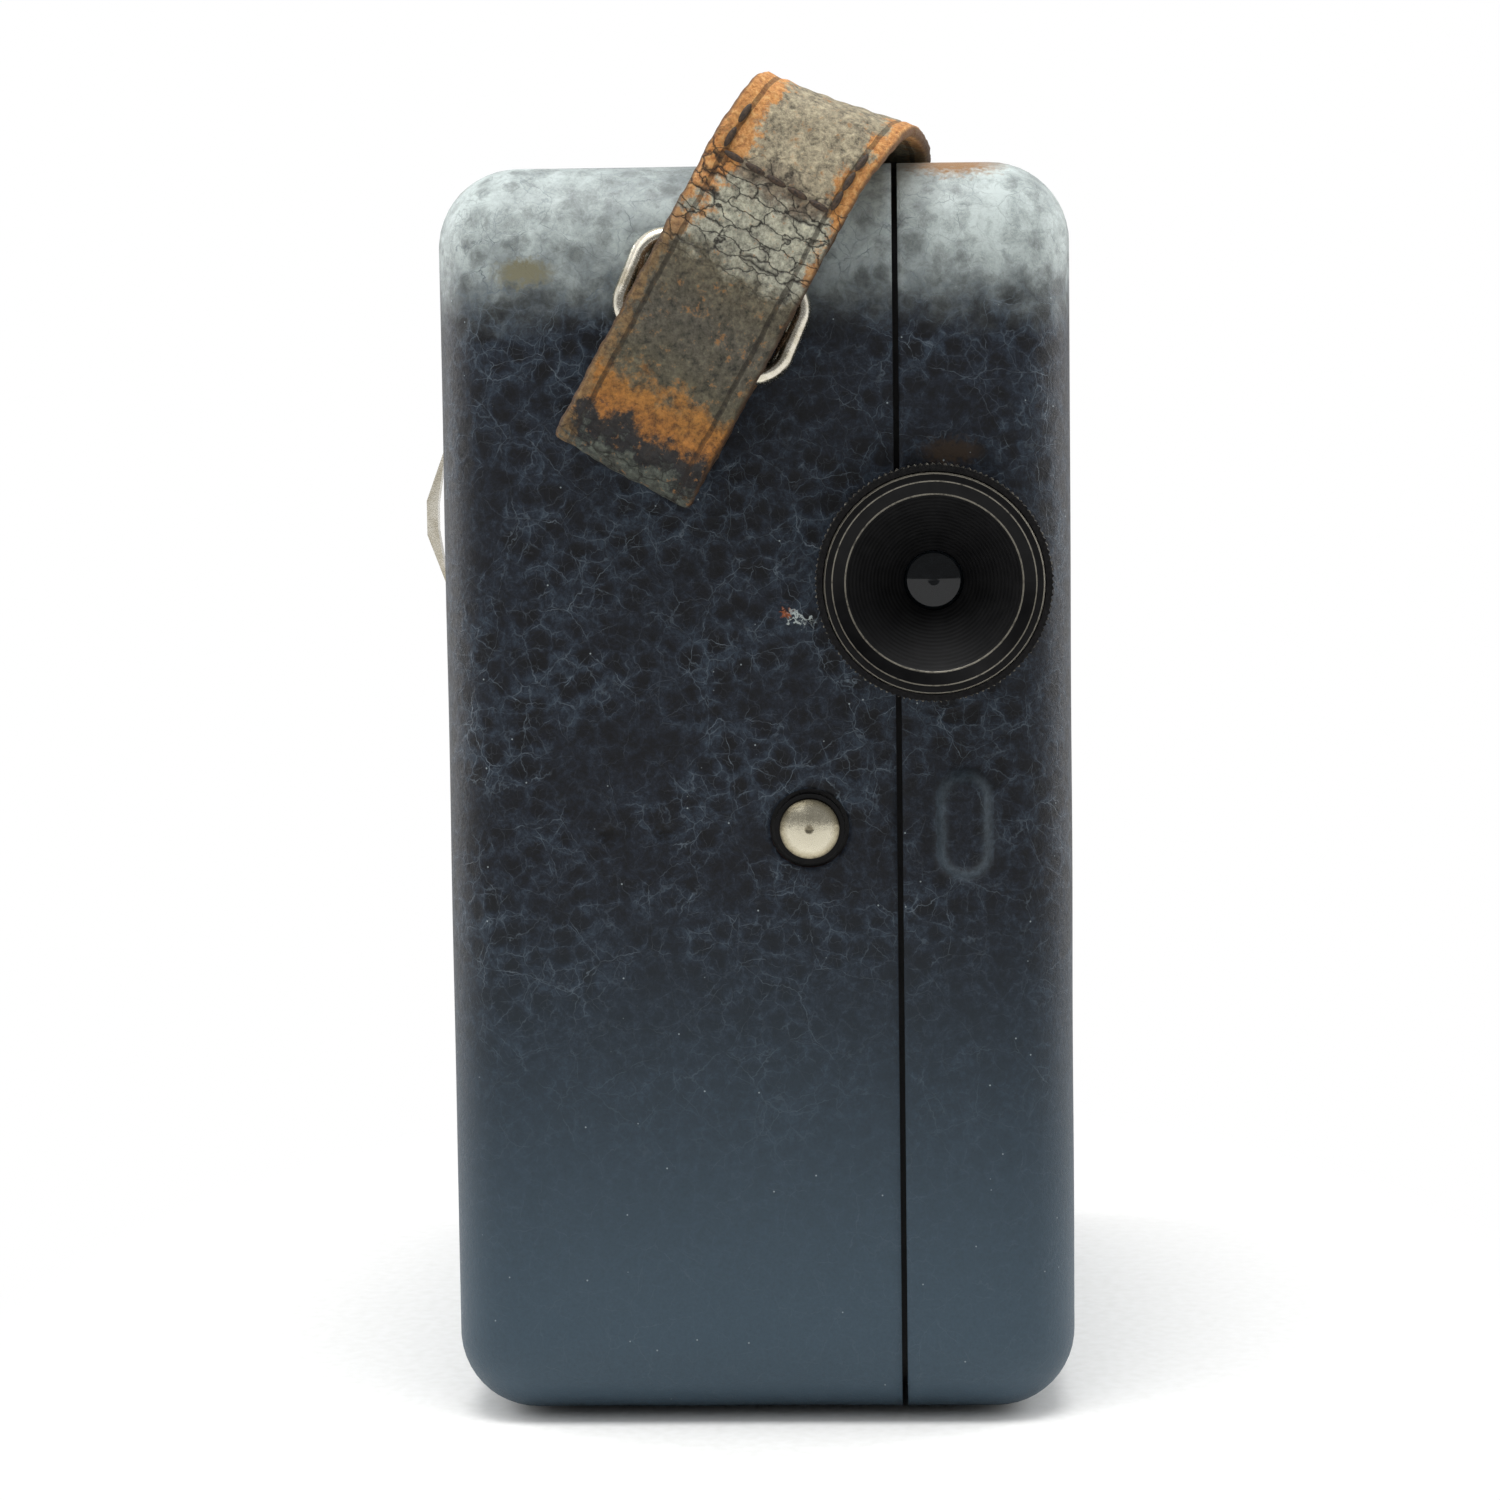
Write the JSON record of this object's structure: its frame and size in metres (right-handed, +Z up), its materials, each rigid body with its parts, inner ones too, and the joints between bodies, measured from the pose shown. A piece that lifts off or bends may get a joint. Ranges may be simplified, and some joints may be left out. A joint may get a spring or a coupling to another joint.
{
  "type": "clockwork cine camera",
  "caption": "Pocket box camera in a worn leather covered case: clockwork motor, side door, knurled lens ring, release button, folding winding key and hand strap.",
  "frame": {"origin": "middle of the case's base, on the surface that it stands on", "axes": "lens looks along -Y, side door at +X, winding key at -X, +Z up"},
  "size_m": [0.0624, 0.1026, 0.1181],
  "materials": {
    "black_leather": "worn, grained, satin sheen",
    "strap_leather": "old, cracked, rubbed tan at the edges",
    "shell_metal": "matt black lacquer inside",
    "black_lacquer": "matt black",
    "nickel": "aged nickel plate, soft shine",
    "dark_nickel": "darkened plate",
    "brass_plate": "brushed, lacquered",
    "brass_gear": "turned",
    "steel": "fine ground",
    "blued_steel": "blued",
    "spring_steel": "tempered",
    "lens_black": "satin black enamel, worn to brass on the edges",
    "glass": "coated clear",
    "bush_brown": "reddish brown fibre",
    "button_cream": "pale worn nickel"
  },
  "bodies": {
    "root": {"case_leather": "black_leather", "case_shell": "shell_metal", "light_trap": "black_lacquer", "base_plate": "nickel", "base_screws": "nickel", "tripod_bush": "brass_plate", "case_hinge_leaf": "nickel", "hinge_pin": "steel", "hinge_screws": "nickel", "strap_lugs": "nickel", "strap_rings": "nickel", "strap": "strap_leather", "main_plate": "brass_plate", "motor_plate": "brass_plate", "plate_pillars": "brass_plate", "plate_screws": "blued_steel", "plate_feet": "brass_plate", "lens_board": "black_lacquer", "lens_mount": "lens_black", "front_bezel": "lens_black", "front_glass": "glass", "rear_cell": "lens_black", "rear_glass": "glass", "shutter_cock": "brass_plate", "film_gate": "steel", "pressure_spring": "spring_steel", "shoulder_posts": "blued_steel", "button_guide": "lens_black", "button_spring": "spring_steel", "key_bush": "bush_brown", "click_spring": "spring_steel"},
    "side_door": {"door_leather": "black_leather", "door_shell": "shell_metal", "door_hinge_leaf": "nickel", "door_catch": "spring_steel", "charger_spring": "spring_steel"},
    "winder": {"winding_arbor": "steel", "ratchet_wheel": "brass_gear", "key_disc": "dark_nickel"},
    "key_handle": {"key_bow": "nickel"},
    "ratchet_click": {"click": "blued_steel"},
    "barrel": {"barrel_drum": "brass_gear", "great_wheel": "brass_gear", "mainspring": "blued_steel"},
    "second": {"second_arbor": "steel"},
    "drive": {"drive_arbor": "steel"},
    "governor": {"governor_arbor": "steel"},
    "shutter": {"shutter_shaft": "steel", "shutter_disc": "black_lacquer"},
    "claw": {"claw_plate": "steel"},
    "button": {"release_button": "button_cream"},
    "lever": {"release_lever": "steel"},
    "iris": {"iris_ring": "dark_nickel"},
    "gate_pressure": {"pressure_plate": "steel"},
    "leaf_1": {"iris_leaf_1": "black_lacquer"},
    "leaf_2": {"iris_leaf_2": "black_lacquer"},
    "leaf_3": {"iris_leaf_3": "black_lacquer"},
    "leaf_4": {"iris_leaf_4": "black_lacquer"},
    "leaf_5": {"iris_leaf_5": "black_lacquer"}
  },
  "joints": [
    {"name": "door_swing", "type": "hinge", "parent": "root", "child": "side_door", "pos_m": [0.0123, 0.0466, 0.055], "axis": [0, 0, 1], "range_deg": [0, 105]},
    {"name": "key_turn", "type": "hinge", "parent": "root", "child": "winder", "pos_m": [-0.02, 0.00992, 0.07843], "axis": [-1, 0, 0], "continuous": true},
    {"name": "key_fold", "type": "hinge", "parent": "winder", "child": "key_handle", "pos_m": [-0.0319, 0.00992, 0.07843], "axis": [0, 0, 1], "range_deg": [0, 90]},
    {"name": "click_lift", "type": "hinge", "parent": "root", "child": "ratchet_click", "pos_m": [-0.016, -0.00018, 0.07973], "axis": [-1, 0, 0], "range_deg": [0, 8], "stiffness_Nm_per_rad": 0.002, "springref_deg": -11.46, "deforming": ["click_spring"]},
    {"name": "barrel_turn", "type": "hinge", "parent": "root", "child": "barrel", "pos_m": [-0.005, 0.00992, 0.07843], "axis": [1, 0, 0], "continuous": true},
    {"name": "second_turn", "type": "hinge", "parent": "root", "child": "second", "pos_m": [0, -0.01145, 0.06507], "axis": [1, 0, 0], "continuous": true},
    {"name": "drive_turn", "type": "hinge", "parent": "root", "child": "drive", "pos_m": [0, -0.019, 0.0744], "axis": [1, 0, 0], "continuous": true},
    {"name": "governor_turn", "type": "hinge", "parent": "root", "child": "governor", "pos_m": [0, -0.01545, 0.05376], "axis": [1, 0, 0], "continuous": true},
    {"name": "shutter_turn", "type": "hinge", "parent": "root", "child": "shutter", "pos_m": [-0.001, -0.034, 0.0744], "axis": [0, 1, 0], "continuous": true},
    {"name": "claw_stroke", "type": "slide", "parent": "root", "child": "claw", "axis": [0, 0, 1], "range_m": [-0.002, 0.002]},
    {"name": "release_press", "type": "slide", "parent": "root", "child": "button", "axis": [0, 1, 0], "range_m": [0, 0.0016], "stiffness_N_per_m": 250, "springref_m": -0.0006, "deforming": ["button_spring"]},
    {"name": "lever_tilt", "type": "hinge", "parent": "root", "child": "lever", "pos_m": [0.004, -0.034, 0.045], "axis": [-1, 0, 0], "range_deg": [0, 11.5]},
    {"name": "iris_turn", "type": "hinge", "parent": "root", "child": "iris", "pos_m": [0.0154, -0.048, 0.0744], "axis": [0, 1, 0], "range_deg": [0, 60]},
    {"name": "pressure_slide", "type": "slide", "parent": "root", "child": "gate_pressure", "axis": [0, 1, 0], "range_m": [0, 0.0008], "stiffness_N_per_m": 200, "springref_m": -0.001, "deforming": ["pressure_spring"]},
    {"name": "leaf_1_swing", "type": "hinge", "parent": "root", "child": "leaf_1", "pos_m": [0.0203, -0.042, 0.0744], "axis": [0, 1, 0], "range_deg": [0, 30]},
    {"name": "leaf_2_swing", "type": "hinge", "parent": "root", "child": "leaf_2", "pos_m": [0.01691, -0.042, 0.06974], "axis": [0, 1, 0], "range_deg": [0, 30]},
    {"name": "leaf_3_swing", "type": "hinge", "parent": "root", "child": "leaf_3", "pos_m": [0.01144, -0.042, 0.07152], "axis": [0, 1, 0], "range_deg": [0, 30]},
    {"name": "leaf_4_swing", "type": "hinge", "parent": "root", "child": "leaf_4", "pos_m": [0.01144, -0.042, 0.07728], "axis": [0, 1, 0], "range_deg": [0, 30]},
    {"name": "leaf_5_swing", "type": "hinge", "parent": "root", "child": "leaf_5", "pos_m": [0.01691, -0.042, 0.07906], "axis": [0, 1, 0], "range_deg": [0, 30]}
  ],
  "couplings": [
    {"joint": "second_turn", "follows": "barrel_turn", "ratio": -5},
    {"joint": "drive_turn", "follows": "barrel_turn", "ratio": 15},
    {"joint": "governor_turn", "follows": "barrel_turn", "ratio": 15},
    {"joint": "shutter_turn", "follows": "barrel_turn", "ratio": 15},
    {"joint": "lever_tilt", "follows": "release_press", "rad_per_m": 125},
    {"joint": "leaf_1_swing", "follows": "iris_turn", "ratio": 0.5},
    {"joint": "leaf_2_swing", "follows": "iris_turn", "ratio": 0.5},
    {"joint": "leaf_3_swing", "follows": "iris_turn", "ratio": 0.5},
    {"joint": "leaf_4_swing", "follows": "iris_turn", "ratio": 0.5},
    {"joint": "leaf_5_swing", "follows": "iris_turn", "ratio": 0.5}
  ]
}
